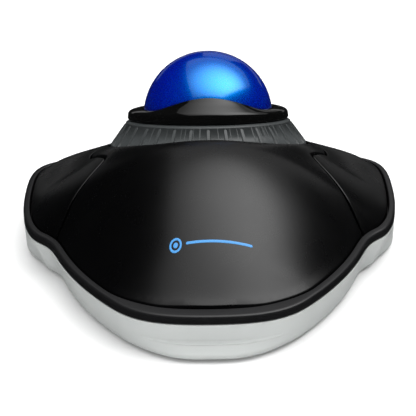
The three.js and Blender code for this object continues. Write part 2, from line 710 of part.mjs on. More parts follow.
add('main_board', mainBoard(), MATERIALS.board);
add('optical_sensor', opticalSensor(), MATERIALS.chip);
add('sensor_lens', sensorLens(), MATERIALS.lens);
add('scroll_sensor', scrollSensor(), MATERIALS.chip);
add('controller_chip', box(7, 10, BOARD_TOP + GAP, 10.4, -20, 30), MATERIALS.chip);
add('crystal', box(3.6, 8, BOARD_TOP + GAP, 11.6, -10, 45), MATERIALS.steel);
add('capacitor', cylinder(2.5, BOARD_TOP + GAP, BOARD_TOP + GAP + 5, -19, 44, 20), MATERIALS.chip);
const socketHollow = box(8.4, 3.4, 10.6, 14, 21, 36);
add('cable_socket', box(10, 5, BOARD_TOP + GAP, 13.4, 21, 36).subtract(socketHollow), MATERIALS.socket);
add('cable_gland', cableGland(), MATERIALS.foot);

caseScrewSpots.forEach(([x, y], i) => add(`case_screw_${i + 1}`, screw(x, y, 2.5, 10.4), MATERIALS.steel));
legSpots.forEach(([x, y], i) => add(`cup_screw_${i + 1}`, screw(x, y, 2.5, 9.4), MATERIALS.steel));
palmScrewSpots.forEach(([x, y], i) => add(`palm_screw_${i + 1}`, screw(x, y, 9.7, 18), MATERIALS.steel));
boardScrewSpots.forEach(([x, y], i) => {
  add(`board_screw_${i + 1}`, screwDown(x, y, BOARD_TOP + GAP, 3), MATERIALS.steel);
});
footSpots.forEach(([x, y], i) => add(`foot_${i + 1}`, foot(x, y), MATERIALS.foot));

export default trackball;
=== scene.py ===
"""Looks for the desktop trackball: fine shells, the scroll ring, the ball, their materials and a pale studio.

Shapes are worked out in millimetres in the part's own frame (the user sits on the -Y side, +Z is up) and
turned into metres when a mesh is made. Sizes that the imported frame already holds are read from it.
"""

import json
import math

import bmesh
import bpy
import numpy as np
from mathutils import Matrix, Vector
from mathutils.geometry import delaunay_2d_cdt


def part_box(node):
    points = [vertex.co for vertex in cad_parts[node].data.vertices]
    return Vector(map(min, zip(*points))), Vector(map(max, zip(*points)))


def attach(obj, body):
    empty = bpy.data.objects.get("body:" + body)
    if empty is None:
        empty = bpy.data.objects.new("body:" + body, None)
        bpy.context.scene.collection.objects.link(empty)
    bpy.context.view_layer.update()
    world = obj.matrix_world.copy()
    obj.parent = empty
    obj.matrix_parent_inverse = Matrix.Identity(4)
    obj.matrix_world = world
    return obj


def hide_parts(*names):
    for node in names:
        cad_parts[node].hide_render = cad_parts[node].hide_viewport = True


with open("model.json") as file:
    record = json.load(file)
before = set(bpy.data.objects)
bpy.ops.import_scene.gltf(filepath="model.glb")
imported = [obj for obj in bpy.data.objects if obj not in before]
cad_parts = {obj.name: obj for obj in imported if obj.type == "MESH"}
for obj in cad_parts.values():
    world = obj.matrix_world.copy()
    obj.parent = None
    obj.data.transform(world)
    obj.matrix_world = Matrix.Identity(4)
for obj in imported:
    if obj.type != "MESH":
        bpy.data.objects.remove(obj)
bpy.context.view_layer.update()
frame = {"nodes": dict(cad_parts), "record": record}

MM = 0.001


def box_mm(node):
    """A CAD node's lowest and highest corners, in millimetres."""
    low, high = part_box(node)
    return np.array(low) / MM, np.array(high) / MM


# ---------------------------------------------------------------- sizes

BALL_LOW, BALL_HIGH = box_mm("ball")
BALL_CENTRE = (BALL_LOW + BALL_HIGH) / 2
BALL_RADIUS = (BALL_HIGH - BALL_LOW)[0] / 2
CASE_BOTTOM = box_mm("lower_case")[0][2]
RIM_TOP = box_mm("top_frame")[1][2]
CASE_TOP = RIM_TOP - 2.8  # parting line
RING_TILT = math.radians(18)

SEAM = 0.7  # visible width of the seams between covers
COVER_WALL = 2.0
COVER_FRONT = -59.6
COVER_REAR = 63.1
CREST_HEIGHT = 29.7  # heights here are above the rim
CREST_Y = -10.0
WING_HEIGHT = 3.7
COLLAR_HEIGHT = 28.1
COLLAR_SLOPE = 0.36
COLLAR_SPREAD = 38.0
COLLAR_MIDDLE_Y = 14.0
WELL_RADIUS = 31.2
WELL_WALL = 1.6
WELL_BOTTOM = -12.4  # along the ring's axis, from the ball's middle
COLLAR_RADIUS = 36.6
COLLAR_CENTRE_Y = 18.5
STRIP_HALF_WIDTH = 3.0
SEAM_PINCH = np.array([46.2, -17.0])
SEAM_BEND = np.array([36.3, -6.8])
SEAM_CORNER = np.array([30.9, 1.2])
SEAM_END_Y = 75.0  # past the rear edge, so that the seam crosses it
HORN_TIP_ANGLE = -0.15


# ---------------------------------------------------------------- small helpers


def smooth(value, start, end):
    """0 before start, 1 after end, and an S-curve between."""
    t = np.clip((np.asarray(value, float) - start) / (end - start), 0, 1)
    return t * t * (3 - 2 * t)


def unit(vectors):
    return vectors / np.linalg.norm(vectors, axis=-1, keepdims=True)


def right_of(directions):
    """Plan vectors turned a quarter turn to the right."""
    return np.stack([directions[..., 1], -directions[..., 0]], axis=-1)


def bezier(corners, count):
    """Points along a cubic curve, without its end."""
    t = np.linspace(0, 1, count, endpoint=False)[:, None]
    a, b, c, d = (np.array(p, float) for p in corners)
    return a * (1 - t) ** 3 + 3 * b * t * (1 - t) ** 2 + 3 * c * t**2 * (1 - t) + d * t**3


def resample(line, spacing, closed=False):
    """The same line with evenly spaced points."""
    if closed:
        line = np.vstack([line, line[:1]])
    along = np.concatenate([[0], np.cumsum(np.linalg.norm(np.diff(line, axis=0), axis=1))])
    count = max(int(round(along[-1] / spacing)), 2)
    at = np.linspace(0, along[-1], count + 1)
    points = np.stack([np.interp(at, along, line[:, k]) for k in range(line.shape[1])], axis=1)
    return points[:-1] if closed else points


def mirrored(points):
    """The same line on the other side of x = 0, run backwards."""
    return points[::-1] * np.array([-1] + [1] * (points.shape[1] - 1))


def make_object(name, vertices, faces, smooth_angle=40):
    """A mesh object from points in millimetres. Edges sharper than smooth_angle degrees are not smoothed."""
    mesh = bpy.data.meshes.new(name)
    mesh.from_pydata((np.asarray(vertices) * MM).tolist(), [], faces)
    work = bmesh.new()
    work.from_mesh(mesh)
    bmesh.ops.remove_doubles(work, verts=work.verts, dist=1e-7)
    bmesh.ops.recalc_face_normals(work, faces=work.faces)
    for face in work.faces:
        face.smooth = True
    for edge in work.edges:
        if len(edge.link_faces) == 2 and edge.calc_face_angle() > math.radians(smooth_angle):
            edge.smooth = False
    work.to_mesh(mesh)
    work.free()
    obj = bpy.data.objects.new(name, mesh)
    bpy.context.scene.collection.objects.link(obj)
    return obj


def grid_faces(rows, columns, close_rows=False, close_columns=False, start=0):
    """Quads over a grid of points stored row by row."""
    faces = []
    for i in range(rows if close_rows else rows - 1):
        for j in range(columns if close_columns else columns - 1):
            here = start + i * columns
            there = start + (i + 1) % rows * columns
            k = (j + 1) % columns
            faces.append([here + j, here + k, there + k, there + j])
    return faces


def capped_faces(rows, columns):
    """Faces over stacked rings of points, closed by a point before the first ring and one after the last."""
    faces = grid_faces(rows, columns, False, True, start=1)
    last = rows * columns + 1
    for j in range(columns):
        k = (j + 1) % columns
        faces.append([0, 1 + j, 1 + k])
        faces.append([last, last - columns + k, last - columns + j])
    return faces


def ring_solid(name, sections, smooth_angle=40):
    """A closed band from an array of closed sections, joined one to the next and round to the first."""
    rows, columns = sections.shape[:2]
    return make_object(name, sections.reshape(-1, 3), grid_faces(rows, columns, True, True), smooth_angle)


def rounded(profile, radius, steps=4):
    """A closed profile with its corners rounded. A corner may carry its own radius as a third value."""
    out = []
    count = len(profile)
    for i, corner in enumerate(profile):
        here = np.array(corner[:2], float)
        r = corner[2] if len(corner) > 2 else radius
        before = np.array(profile[i - 1][:2], float) - here
        after = np.array(profile[(i + 1) % count][:2], float) - here
        reach = min(r, 0.45 * np.linalg.norm(before), 0.45 * np.linalg.norm(after))
        a, b = here + unit(before) * reach, here + unit(after) * reach
        for t in np.linspace(0, 1, steps + 1):
            out.append(a * (1 - t) ** 2 + 2 * here * t * (1 - t) + b * t**2)
    return np.array(out)


def tilted(radius, height, angle):
    """Points given by radius, height and angle about the ring's axis, in the part's frame."""
    radius, height, angle = np.broadcast_arrays(radius, height, angle)
    across, up = radius * np.sin(angle), height
    c, s = math.cos(RING_TILT), math.sin(RING_TILT)
    return BALL_CENTRE + np.stack([radius * np.cos(angle), across * c + up * s, up * c - across * s], axis=-1)


# ---------------------------------------------------------------- materials


GRAIN_DEPTH = 0.00002  # metres


def material(name, color, roughness, *, metallic=0.0, grain=2500.0, bump=0.05, mottle=0.08,
             mottle_scale=90.0, rough_spread=0.05, **sockets):
    """A moulded or machined surface: colour and gloss vary a little in patches, over a fine grain."""
    made = bpy.data.materials.new(name)
    made.use_nodes = True
    nodes, links = made.node_tree.nodes, made.node_tree.links
    shader = nodes["Principled BSDF"]
    shader.inputs["Metallic"].default_value = metallic
    for key, value in sockets.items():
        shader.inputs[key.replace("_", " ")].default_value = value
    coordinates = nodes.new("ShaderNodeTexCoord")
    patches = nodes.new("ShaderNodeTexNoise")
    patches.inputs["Scale"].default_value = mottle_scale
    patches.inputs["Detail"].default_value = 4
    links.new(coordinates.outputs["Object"], patches.inputs["Vector"])
    tint = nodes.new("ShaderNodeMix")
    tint.data_type = "RGBA"
    tint.inputs["A"].default_value = [c * (1 - mottle) for c in color] + [1]
    tint.inputs["B"].default_value = [min(c * (1 + mottle), 1) for c in color] + [1]
    links.new(patches.outputs["Fac"], tint.inputs["Factor"])
    links.new(tint.outputs["Result"], shader.inputs["Base Color"])
    fine = nodes.new("ShaderNodeTexNoise")
    fine.inputs["Scale"].default_value = grain
    fine.inputs["Detail"].default_value = 3
    links.new(coordinates.outputs["Object"], fine.inputs["Vector"])
    gloss = nodes.new("ShaderNodeMapRange")
    gloss.inputs["To Min"].default_value = max(roughness - rough_spread, 0.01)
    gloss.inputs["To Max"].default_value = roughness + rough_spread
    links.new(patches.outputs["Fac"], gloss.inputs["Value"])
    links.new(gloss.outputs["Result"], shader.inputs["Roughness"])
    relief = nodes.new("ShaderNodeBump")
    relief.inputs["Strength"].default_value = bump
    relief.inputs["Distance"].default_value = GRAIN_DEPTH
    links.new(fine.outputs["Fac"], relief.inputs["Height"])
    links.new(relief.outputs["Normal"], shader.inputs["Normal"])
    return made


COVER = material("cover_black", (0.0006, 0.0006, 0.0007), 0.28, bump=0.25, grain=3500)
RIM = material("rim_black", (0.006, 0.006, 0.0065), 0.33, bump=0.2, grain=3500)
GLOSS = material("gloss_black", (0.002, 0.002, 0.002), 0.07, bump=0.01, rough_spread=0.02)
CASE = material("case_grey", (0.46, 0.478, 0.47), 0.42, bump=0.15, grain=3500, mottle=0.02)
GRIP = material("grip_rubber", (0.036, 0.040, 0.041), 0.44, bump=0.4, grain=2800, mottle=0.1)
INNER = material("inner_black", (0.01, 0.01, 0.01), 0.6, bump=0.3)
# Blue metal flake under a clear coat: the tint colours the broad highlight, and the coat adds the white one.
BALL = material(
    "ball_blue", (0, 0.001, 0.36), 0.27, bump=0.25, mottle=0.35, mottle_scale=2500, IOR=6,
    Specular_Tint=(0, 0.42, 1, 1), Coat_Weight=1.0, Coat_Roughness=0.07, Coat_IOR=1.5,
)
BEARING = material("bearing_white", (0.8, 0.78, 0.73), 0.12, bump=0.02)
STEEL = material("screw_steel", (0.55, 0.55, 0.56), 0.32, metallic=1.0, bump=0.2)
BOARD = material("board_green", (0.01, 0.09, 0.03), 0.35, bump=0.1, mottle=0.25, mottle_scale=400)
CHIP = material("chip_black", (0.02, 0.02, 0.022), 0.5, bump=0.3)
LENS = material(
    "lens_clear", (0.85, 0.9, 0.92), 0.04, bump=0.01, mottle=0.02, rough_spread=0.02,
    Transmission_Weight=0.9, IOR=1.49,
)
SOCKET = material("socket_ivory", (0.7, 0.67, 0.58), 0.45, bump=0.15)
PLUNGER = material("plunger_red", (0.5, 0.05, 0.03), 0.4, bump=0.15)
FOOT = material("foot_rubber", (0.03, 0.03, 0.031), 0.8, bump=0.5, grain=1800)
PRINT = material("pad_print", (0.045, 0.24, 0.55), 0.45, bump=0.05, mottle=0.03)

SLOT_LOOKS = {
    "cover_black": COVER, "rim_black": RIM, "gloss_black": GLOSS, "case_grey": CASE, "ball_blue": BALL,
    "grip_rubber": GRIP, "inner_black": INNER, "bearing_white": BEARING, "screw_steel": STEEL,
    "board_green": BOARD, "chip_black": CHIP, "lens_clear": LENS, "socket_ivory": SOCKET,
    "plunger_red": PLUNGER, "foot_rubber": FOOT,
}
SLOT_OF = {part["node"]: part["material_slot"] for part in frame["record"]["subparts"]}
for node, obj in frame["nodes"].items():
    obj.data.materials.clear()
    obj.data.materials.append(SLOT_LOOKS[SLOT_OF[node]])


def place(piece, body, look, node=None):
    """Gives a new piece its material and body, and hides the CAD node that it stands for."""
    piece.data.materials.append(look)
    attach(piece, body)
    if node:
        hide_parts(node)
    return piece


# ---------------------------------------------------------------- plan outline

OUTLINE_CURVES = [
    [(0, -64.4), (14.2, -64.4), (21.5, -62.1), (27.8, -54.3)],
    [(27.8, -54.3), (36.2, -44), (41.5, -34), (45, -24.2)],
    [(45, -24.2), (46.8, -19.4), (47.5, -17.4), (51.2, -13.9)],
    [(51.2, -13.9), (55.9, -9.5), (57.8, 2), (57.8, 16)],
    [(57.8, 16), (57.8, 28), (57.2, 35), (51.5, 38.6)],
    [(51.5, 38.6), (48, 41), (44.5, 41.4), (41, 44.8)],
    [(41, 44.8), (32, 54), (18, 65.5), (0, 65.5)],
]


def plan_outline(spacing):
    """The parting line seen from above, anticlockwise from the nose, and its outward normals."""
    half = np.vstack([bezier(curve, 200) for curve in OUTLINE_CURVES] + [[[0, 65.5]]])
    half = resample(half, spacing)
    line = np.vstack([half, mirrored(half)[1:-1]])
    directions = np.roll(line, -1, axis=0) - np.roll(line, 1, axis=0)
    return line, unit(right_of(directions))


OUTLINE, OUTWARD = plan_outline(0.8)


def rim_width(points):
    """The rim is widest across the nose and narrowest along the flanks."""
    y = points[:, 1]
    return 2.3 + 2 * smooth(-y, 50, 62) - 0.4 * smooth(y, -14, 4)


# ---------------------------------------------------------------- cover surface

COVER_EDGE = OUTLINE - OUTWARD * (rim_width(OUTLINE) + SEAM * 0.7)[:, None]
RIGHT_EDGE = COVER_EDGE[: len(COVER_EDGE) // 2 + 1]


def cover_half_width(y):
    """Half the width of all the covers together at one distance along the body."""
    return np.interp(y, RIGHT_EDGE[:, 1], RIGHT_EDGE[:, 0])


def crest(y):
    """Height of the palm hump's middle, which rises from the nose and then falls along the ring's tilt."""
    hump = CREST_HEIGHT * np.sin(math.pi / 2 * np.clip((y - COVER_FRONT) / 50, 0, 1))
    past = 6 * np.log1p(np.exp((y - CREST_Y) / 6))
    return hump - math.tan(RING_TILT) * past


def collar(x, y):
    """Height of the raised collar round the ring and of the wings beside it."""
    spread = 1 / (1 + (np.hypot(x, y - COLLAR_MIDDLE_Y) / COLLAR_SPREAD) ** 7)
    return WING_HEIGHT + (COLLAR_HEIGHT - COLLAR_SLOPE * (y - CREST_Y) - WING_HEIGHT) * spread


def cover_height(x, y):
    """Height of the covers above the desk: the palm hump blended into the collar and the wings."""
    across = np.minimum(np.abs(x) / np.maximum(cover_half_width(y), 1), 1)
    dome = crest(y) * (1 - across**2) * (1 - smooth(y, 6, 30))
    raised = collar(x, y) * (1 - across**12) * smooth(y, -36, -12)
    back = 1 - np.clip((y - 36) / (COVER_REAR - 36), 0, 1) ** 3
    joined = (dome + raised + np.hypot(dome - raised, 1.2)) / 2
    return RIM_TOP + np.maximum(joined - 0.6 * across**4, 0) * back


def crossing(line, other):
    """Where two plan lines first cross: the point, and the segment of each line that it lies on."""
    a, d = line[:-1, None], np.diff(line, axis=0)[:, None]
    b, e = other[None, :-1], np.diff(other, axis=0)[None]
    cross = d[..., 0] * e[..., 1] - d[..., 1] * e[..., 0]
    cross = np.where(np.abs(cross) < 1e-12, 1e-12, cross)
    gap = b - a
    t = (gap[..., 0] * e[..., 1] - gap[..., 1] * e[..., 0]) / cross
    u = (gap[..., 0] * d[..., 1] - gap[..., 1] * d[..., 0]) / cross
    i, j = np.argwhere((t >= 0) & (t <= 1) & (u >= 0) & (u <= 1))[0]
    return line[i] + t[i, j] * np.diff(line, axis=0)[i], i, j


def seam_line(side):
    """The right-hand seam between palm cover and button, moved to the right of its direction by side."""
    out = SEAM_PINCH + unit(SEAM_PINCH - SEAM_BEND) * 20
    angle = np.linspace(HORN_TIP_ANGLE, math.acos(STRIP_HALF_WIDTH / COLLAR_RADIUS), 60)
    round_well = COLLAR_RADIUS * np.stack([np.cos(angle), np.sin(angle)], axis=1) + [0, COLLAR_CENTRE_Y]
    front = np.vstack([bezier([out, SEAM_PINCH, SEAM_BEND, SEAM_CORNER], 24), SEAM_CORNER])
    line = np.vstack([front, round_well, [STRIP_HALF_WIDTH, SEAM_END_Y]])
    ahead = unit(np.diff(line, axis=0))
    into = np.vstack([ahead[:1], ahead])
    away = np.vstack([ahead, ahead[-1:]])
    across = right_of(unit(into + away))
    miter = np.maximum(np.sum(across * right_of(into), axis=1), 0.4)
    return line + across * (side / miter)[:, None]


def fillet(loop, radius, sharp=25):
    """A closed plan loop with its sharp corners rounded."""
    before = loop - np.roll(loop, 1, axis=0)
    after = np.roll(loop, -1, axis=0) - loop
    turn = np.arccos(np.clip(np.sum(unit(before) * unit(after), axis=1), -1, 1))
    out = []
    for i, point in enumerate(loop):
        if turn[i] < math.radians(sharp):
            out.append(point)
            continue
        a = walk(loop, i, -1, radius)
        b = walk(loop, i, 1, radius)
        out = [p for p in out if np.linalg.norm(p - point) > radius]
        for t in np.linspace(0, 1, 7):
            out.append(a * (1 - t) ** 2 + 2 * point * t * (1 - t) + b * t**2)
    return np.array(out)


def walk(loop, start, step, distance):
    """The point a distance along a loop from one of its points, forwards or backwards."""
    i = start
    while True:
        here, there = loop[i % len(loop)], loop[(i + step) % len(loop)]
        length = np.linalg.norm(there - here)
        if length >= distance:
            return here + (there - here) * distance / length
        distance -= length
        i += step


def cut_edge(side):
    """The right-hand edge before, between and after its crossings with a seam, and the seam between them."""
    seam = seam_line(side)
    start, i, j = crossing(RIGHT_EDGE, seam)
    end, k, m = crossing(RIGHT_EDGE[::-1], seam[j + 1:])
    k = len(RIGHT_EDGE) - 1 - k
    joining = np.vstack([start, seam[j + 1: j + 2 + m], end])
    return RIGHT_EDGE[: i + 1], RIGHT_EDGE[i + 1: k], RIGHT_EDGE[k:], joining


def palm_loop():
    """The palm cover's outer edge in plan, anticlockwise."""
    front, _, rear, seam = cut_edge(-SEAM / 2)
    half = np.vstack([front, seam, rear])
    return np.vstack([half, mirrored(half)[1:-1]])


def button_loop():
    """The right button's edge in plan, anticlockwise."""
    _, flank, _, seam = cut_edge(SEAM / 2)
    return np.vstack([seam[0], flank, seam[-1], seam[1:-1][::-1]])


def well_loop(spacing=0.7):
    """Where the ring's well cuts the cover surface, in plan, anticlockwise."""
    count = int(2 * math.pi * WELL_RADIUS / spacing)
    angle = np.linspace(0, 2 * math.pi, count, endpoint=False)
    low, high = np.full(count, -25.0), np.full(count, 15.0)
    for _ in range(40):
        middle = (low + high) / 2
        p = tilted(WELL_RADIUS, middle, angle)
        above = p[:, 2] > cover_height(p[:, 0], p[:, 1])
        high, low = np.where(above, middle, high), np.where(above, low, middle)
    return tilted(WELL_RADIUS, (low + high) / 2, angle)[:, :2], (low + high) / 2


def inside(points, loop):
    """Which points lie within a closed plan loop."""
    x, y = points[:, 0][:, None], points[:, 1][:, None]
    x0, y0 = loop[:, 0][None], loop[:, 1][None]
    x1, y1 = np.roll(loop[:, 0], -1)[None], np.roll(loop[:, 1], -1)[None]
    spans = (y0 > y) != (y1 > y)
    rise = np.where(y1 == y0, 1e-9, y1 - y0)
    return np.sum(spans & (x < (x1 - x0) * (y - y0) / rise + x0), axis=1) % 2 == 1


def between(points, loops):
    """Which points lie within the first plan loop and outside the rest."""
    kept = inside(points, loops[0])
    for hole in loops[1:]:
        kept &= ~inside(points, hole)
    return kept


def inward(loop, distance):
    """A closed plan loop moved in; material lies to the left of its direction."""
    ahead = unit(np.roll(loop, -1, axis=0) - loop)
    behind = np.roll(ahead, 1, axis=0)
    across = -right_of(unit(ahead + behind))
    miter = np.maximum(np.sum(across * -right_of(ahead), axis=1), 0.5)
    return loop + across * (distance / miter)[:, None]


def shell(loops, surface, wall, spacing=1.1, edge=0.45, steps=5):
    """A shell of even depth under a surface, with round top edges. Loops after the first are holes."""
    turns = np.linspace(0, math.pi / 2, steps)
    vertices, faces, rims = [], [], []

    def add(plan, drop):
        start = sum(len(v) for v in vertices)
        vertices.append(np.column_stack([plan, surface(plan[:, 0], plan[:, 1]) - drop]))
        return np.arange(start, start + len(plan))

    for loop in loops:
        rings = [add(loop, wall)]
        rings += [add(inward(loop, edge * (1 - math.cos(t))), edge * (1 - math.sin(t))) for t in turns]
        for a, b in zip(rings, rings[1:]):
            for i in range(len(loop)):
                j = (i + 1) % len(loop)
                faces.append([a[i], a[j], b[j], b[i]])
        rims.append(rings)

    inner_loops = [inward(loop, edge) for loop in loops]
    low, high = inner_loops[0].min(axis=0), inner_loops[0].max(axis=0)
    rows = np.arange(low[1], high[1], spacing * math.sqrt(3) / 2)
    columns = [np.arange(low[0] + (i % 2) * spacing / 2, high[0], spacing) for i in range(len(rows))]
    grid = np.vstack([np.column_stack([x, np.full(len(x), y)]) for x, y in zip(columns, rows)])
    border = np.vstack(inner_loops)
    clear = np.array([np.min(np.hypot(*(border - p).T)) for p in grid]) > 0.6 * spacing
    plan = np.vstack([border, grid[clear & between(grid, inner_loops)]])
    edges, start = [], 0
    for loop in inner_loops:
        edges += [(start + i, start + (i + 1) % len(loop)) for i in range(len(loop))]
        start += len(loop)
    result = delaunay_2d_cdt([Vector(p) for p in plan], edges, [], 0, 1e-6)
    points = np.array([list(p) for p in result[0]])
    triangles = np.array(result[2])
    triangles = triangles[between(points[triangles].mean(axis=1), inner_loops)]
    top = add(points, 0)
    bottom = add(points, wall)
    faces += [list(top[t]) for t in triangles]
    faces += [list(bottom[t][::-1]) for t in triangles]
    for loop, rings in zip(loops, rims):
        inner = add(inward(loop, edge), wall)
        for i in range(len(loop)):
            j = (i + 1) % len(loop)
            faces.append([rings[0][j], rings[0][i], inner[i], inner[j]])
    return np.vstack(vertices), [[int(i) for i in face] for face in faces]


# ---------------------------------------------------------------- covers

palm_edge = resample(fillet(palm_loop(), 0.8), 0.7, closed=True)
well_plan, well_heights = well_loop()
palm_vertices, palm_faces = shell([palm_edge, well_plan[::-1]], cover_height, COVER_WALL)
palm = make_object("palm_cover_shell", palm_vertices, palm_faces, 60)
place(palm, "housing", COVER, "palm_cover")

well_angles = np.linspace(0, 2 * math.pi, len(well_plan), endpoint=False)
wall_radii = [WELL_RADIUS, WELL_RADIUS + WELL_WALL, WELL_RADIUS + WELL_WALL, WELL_RADIUS]
wall_heights = [well_heights - 1.5, well_heights - 1.8, WELL_BOTTOM, WELL_BOTTOM]
wall_sections = np.stack([tilted(r, h, well_angles) for r, h in zip(wall_radii, wall_heights)], axis=1)
well_wall = ring_solid("palm_cover_well_wall", wall_sections)
place(well_wall, "housing", COVER, "palm_cover")

button_edge = resample(fillet(button_loop(), 0.8), 0.7, closed=True)
button_vertices, button_faces = shell([button_edge], cover_height, COVER_WALL)
right_button = make_object("right_button_shell", button_vertices, button_faces, 60)
place(right_button, "right_button", COVER, "right_button")
left_button = make_object("left_button_shell", button_vertices * [-1, 1, 1], button_faces, 60)
place(left_button, "left_button", COVER, "left_button")


# ---------------------------------------------------------------- case and rim


def outline_band(name, profile, smooth_angle=40):
    """A closed band round the outline, from (distance in from the outline, height) at each of its points."""
    sections = np.empty((len(OUTLINE), profile.shape[-2], 3))
    profile = np.broadcast_to(profile, (len(OUTLINE),) + profile.shape[-2:])
    sections[..., :2] = OUTLINE[:, None] - OUTWARD[:, None] * profile[..., :1]
    sections[..., 2] = profile[..., 1]
    return ring_solid(name, sections, smooth_angle)


RIM_BOTTOM = CASE_TOP + 0.3
SHELF_TOP = 11.4  # the rim's inner shelf, which the covers close over
SHELF_BOTTOM = 10.0
SHELF_WIDTH = 3.4


def rim_profile(width):
    """The rim in section: a crowned top that slopes outwards, and a shelf on the inside."""
    shelf_end = width + SHELF_WIDTH
    return rounded([
        (0, RIM_BOTTOM, 0.15), (0, RIM_TOP, 0.7 * width), (width, RIM_TOP + 0.05, 0.35),
        (width, SHELF_TOP, 0.3), (shelf_end, SHELF_TOP, 0.2), (shelf_end, SHELF_BOTTOM, 0.2),
        (2.3, SHELF_BOTTOM, 0.2), (1.4, RIM_BOTTOM, 0.1),
    ], 0.3, 6)


rim = outline_band("top_frame_rim", np.array([rim_profile(width) for width in rim_width(OUTLINE)]))
place(rim, "housing", RIM, "top_frame")

LIP_HALF_WIDTH = 25.0
LIP_FLARE = 3.0
CASE_DRAFT = 3.0  # how far the case wall leans in towards the desk, at the nose and the back
FLOOR_TOP = 3.2
FLOOR_INSET = 7.8  # from the outline to the flat part of the underside


def case_draft(y):
    """The wall leans in more beside the pinches, and is almost upright along the wings."""
    return CASE_DRAFT + 1.1 * smooth(y, -24, -14) - 3.6 * smooth(y, -9, 4) + 2.5 * smooth(y, 20, 45)


def case_profile(point):
    """The case wall at one outline point: it leans in towards the desk, with a flared lip across the nose."""
    lip = float(LIP_FLARE * smooth(LIP_HALF_WIDTH - abs(point[0]), 0, 20)) if point[1] < 0 else 0.0

    def lean(height):
        return case_draft(point[1]) * (CASE_TOP - height) / (CASE_TOP - CASE_BOTTOM)

    return rounded([
        (0, CASE_TOP, 0.3), (lean(6.3), 6.3, 0.4), (lean(5.8) - 0.42 * lip, 5.8, 0.35),
        (lean(5.3) - 0.36 * lip, 5.3, 0.12), (lean(2.6) - 1.15 * lip, 2.6, 1.5),
        (lean(CASE_BOTTOM) + 0.4 - 1.12 * lip, CASE_BOTTOM, 0.8), (FLOOR_INSET + 0.4, CASE_BOTTOM, 0.5),
        (FLOOR_INSET, FLOOR_TOP, 0.5), (4.6, FLOOR_TOP, 0.5), (1, CASE_TOP, 0.3),
    ], 0.3, 6)


case_wall = outline_band("lower_case_wall", np.array([case_profile(p) for p in OUTLINE]))
place(case_wall, "housing", CASE, "lower_case")


def circle(x, y, radius, steps=48):
    """A plan circle, anticlockwise."""
    angle = np.linspace(0, 2 * math.pi, steps, endpoint=False)
    return np.stack([x + radius * np.cos(angle), y + radius * np.sin(angle)], axis=1)


def middle_of(node):
    """The middle of a CAD node's box."""
    low, high = box_mm(node)
    return (low + high) / 2


FEET = [node for node in frame["nodes"] if node.startswith("foot_")]
UNDER_SCREWS = [node for node in frame["nodes"] if node.startswith(("case_screw_", "cup_screw_"))]
SCREW_HOLE = 2.7
HEAD_RADIUS = 2.4
HEAD_HEIGHT = 1.5
RECESS_DEPTH = 0.9
SHANK_RADIUS = 1.1
SHANK_TOP = 7.0
FOOT_HOLE = 5.3
UNDER_STEP = 0.25  # the flat part of the underside stands back from its border
CAP_DEPTH = 1.0
FOOT_DEPTH = 1.3

under_edge = resample(OUTLINE - OUTWARD * FLOOR_INSET, 1.0, closed=True)
holes = [circle(*middle_of(node)[:2], SCREW_HOLE) for node in UNDER_SCREWS]
holes += [circle(*middle_of(node)[:2], FOOT_HOLE) for node in FEET]


def underside(x, y):
    return np.full_like(x, -(CASE_BOTTOM + UNDER_STEP))


def floor_surface(x, y):
    return np.full_like(x, FLOOR_TOP + CAP_DEPTH)


# The underside is made upside down, so that its round edges face the desk.
plate_loops = [under_edge] + [hole[::-1] for hole in holes]
plate_depth = FLOOR_TOP - CASE_BOTTOM - UNDER_STEP
plate_vertices, plate_faces = shell(plate_loops, underside, plate_depth, spacing=3.0, edge=0.25, steps=4)
plate = make_object("lower_case_underside", plate_vertices * [1, 1, -1], plate_faces, 60)
place(plate, "housing", CASE, "lower_case")
cap_vertices, cap_faces = shell([under_edge], floor_surface, CAP_DEPTH, spacing=3.0, edge=0.1, steps=2)
cap = make_object("lower_case_floor", cap_vertices, cap_faces, 60)
place(cap, "housing", CASE, "lower_case")


def turned(name, rings, ends, angles, centre, smooth_angle=40):
    """A closed body about a vertical axis, from rings of (radius, height) and the heights of its two ends.

    A radius is one number, or one for each angle.
    """
    steps = len(angles)
    circles = [np.column_stack([r * np.cos(angles), r * np.sin(angles), np.full(steps, z)]) for r, z in rings]
    vertices = np.vstack([[[0, 0, ends[0]]]] + circles + [[[0, 0, ends[1]]]]) + centre
    return make_object(name, vertices, capped_faces(len(rings), steps), smooth_angle)


def lathe(name, profile, centre, steps=64):
    """A turned body from a profile of (radius, height) that starts and ends on the axis."""
    angles = np.linspace(0, 2 * math.pi, steps, endpoint=False)
    return turned(name, profile[1:-1], (profile[0][1], profile[-1][1]), angles, centre)


def half_rounded(profile, radius, steps=4):
    """A turned body's profile with every corner rounded except the two on the axis."""
    middle = rounded(profile, radius, steps)[steps + 1: -(steps + 1)]
    return [profile[0]] + [tuple(p) for p in middle] + [profile[-1]]


for node in FEET:
    low, high = box_mm(node)
    x, y = middle_of(node)[:2]
    radius = (high - low)[0] / 2
    profile = half_rounded([
        (0, 0), (radius - 1.6, 0), (radius - 1.1, 0.25), (radius - 0.7, 0), (radius, 0), (radius, FOOT_DEPTH),
        (0, FOOT_DEPTH),
    ], 0.25)
    place(lathe(node + "_pad", profile, [x, y, low[2]]), "housing", FOOT, node)


def cross(angle, half_width=0.42, reach=1.35):
    """Radius of a cross-shaped recess at an angle about its middle."""
    off = abs((angle + math.pi / 4) % (math.pi / 2) - math.pi / 4)
    return min(reach, half_width / max(math.sin(off), 1e-6))


